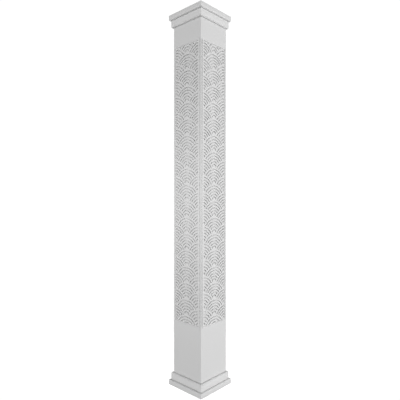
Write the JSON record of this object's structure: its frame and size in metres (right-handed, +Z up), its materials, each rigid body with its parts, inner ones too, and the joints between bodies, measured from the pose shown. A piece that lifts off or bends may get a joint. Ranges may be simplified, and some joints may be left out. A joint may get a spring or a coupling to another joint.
{
  "type": "fretwork column",
  "caption": "Square hollow porch column with overlapping-scale fretwork panels in raised borders let into its faces, and a stepped square capital and base.",
  "frame": {"origin": "centre of the underside, on the shaft's axis", "axes": "+Z up along the shaft, +X and +Y square to two of its faces, -Y the front face"},
  "size_m": [0.2922, 0.2922, 2.4384],
  "materials": {
    "shaft_paint": "smooth white factory paint on cellular PVC board, satin",
    "panel_paint": "smooth white factory paint on cut cellular PVC panels, satin"
  },
  "bodies": {
    "root": {"shaft": "shaft_paint", "fretwork_panel_front": "panel_paint", "fretwork_panel_right": "panel_paint", "fretwork_panel_back": "panel_paint", "fretwork_panel_left": "panel_paint", "base_slab": "shaft_paint", "base_band": "shaft_paint", "capital_band": "shaft_paint", "capital_slab": "shaft_paint"}
  },
  "joints": []
}
